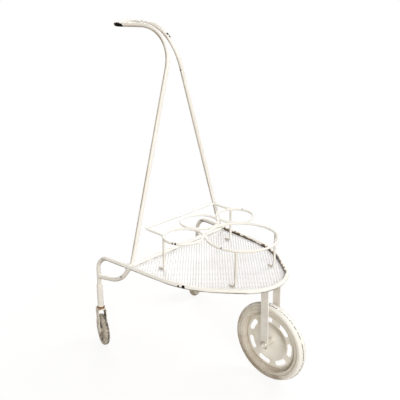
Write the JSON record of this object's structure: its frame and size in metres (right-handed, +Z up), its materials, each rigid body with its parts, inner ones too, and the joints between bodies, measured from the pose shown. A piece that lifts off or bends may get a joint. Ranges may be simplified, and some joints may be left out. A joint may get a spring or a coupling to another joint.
{
  "type": "bar cart",
  "caption": "Small three-wheeled bar cart of bent steel bar with a perforated tray, wire bottle rings, a hairpin push handle, a large front wheel and swivel casters.",
  "frame": {"origin": "on the floor, on the centre plane, halfway between the front axle and the caster stems", "axes": "+Z up, -Y to the front where the large wheel is, +Y to the handle, +X to the pusher's left"},
  "size_m": [0.4306, 0.6224, 0.8285],
  "materials": {
    "cream_enamel": "worn cream enamel, half gloss, chipped at edges",
    "wheel_enamel": "dusty beige enamel on pressed steel",
    "cream_rubber": "aged cream rubber",
    "plain_steel": "dull plain steel",
    "grey_rubber": "scuffed grey rubber",
    "grey_hub": "dusty matte moulding",
    "rusty_steel": "pressed steel with worn paint and rust"
  },
  "bodies": {
    "frame": {"bottle_ring_left": "cream_enamel", "bottle_ring_middle": "cream_enamel", "bottle_ring_right": "cream_enamel", "bucket_ring": "cream_enamel", "caster_socket_left": "cream_enamel", "caster_socket_right": "cream_enamel", "fork_spacer_left": "plain_steel", "fork_spacer_right": "plain_steel", "fork_strap_left": "cream_enamel", "fork_strap_right": "cream_enamel", "front_axle_bolt": "plain_steel", "front_axle_nut": "plain_steel", "handle_bar": "cream_enamel", "leg_brace_left": "cream_enamel", "leg_brace_right": "cream_enamel", "rack_back_wire": "cream_enamel", "rack_post_front_left": "cream_enamel", "rack_post_front_right": "cream_enamel", "rack_post_rear_left": "cream_enamel", "rack_post_rear_right": "cream_enamel", "rear_crossbar": "cream_enamel", "rim_bar": "cream_enamel", "tray_sheet": "cream_enamel"},
    "front_wheel": {"front_tyre": "cream_rubber", "front_rim_hoop": "wheel_enamel", "front_wheel_disc": "wheel_enamel", "front_hub": "wheel_enamel"},
    "caster_left": {"caster_stem_left": "plain_steel", "caster_keeper_ring_left": "plain_steel", "caster_thrust_washer_left": "rusty_steel", "caster_fork_left": "rusty_steel", "caster_axle_left": "plain_steel"},
    "caster_wheel_left": {"caster_hub_left": "grey_hub", "caster_tyre_left": "grey_rubber"},
    "caster_right": {"caster_stem_right": "plain_steel", "caster_keeper_ring_right": "plain_steel", "caster_thrust_washer_right": "rusty_steel", "caster_fork_right": "rusty_steel", "caster_axle_right": "plain_steel"},
    "caster_wheel_right": {"caster_hub_right": "grey_hub", "caster_tyre_right": "grey_rubber"}
  },
  "joints": [
    {"name": "front_wheel_spin", "type": "hinge", "parent": "frame", "child": "front_wheel", "pos_m": [0, -0.2105, 0.1], "axis": [1, 0, 0], "continuous": true},
    {"name": "caster_swivel_left", "type": "hinge", "parent": "frame", "child": "caster_left", "pos_m": [0.186, 0.2105, 0.109], "axis": [0, 0, 1], "continuous": true},
    {"name": "caster_wheel_spin_left", "type": "hinge", "parent": "caster_left", "child": "caster_wheel_left", "pos_m": [0.17844, 0.2079, 0.042], "axis": [0.3256, -0.9455, 0], "continuous": true},
    {"name": "caster_swivel_right", "type": "hinge", "parent": "frame", "child": "caster_right", "pos_m": [-0.186, 0.2105, 0.109], "axis": [0, 0, 1], "continuous": true},
    {"name": "caster_wheel_spin_right", "type": "hinge", "parent": "caster_right", "child": "caster_wheel_right", "pos_m": [-0.189, 0.20308, 0.042], "axis": [0.9272, -0.3746, 0], "continuous": true}
  ]
}
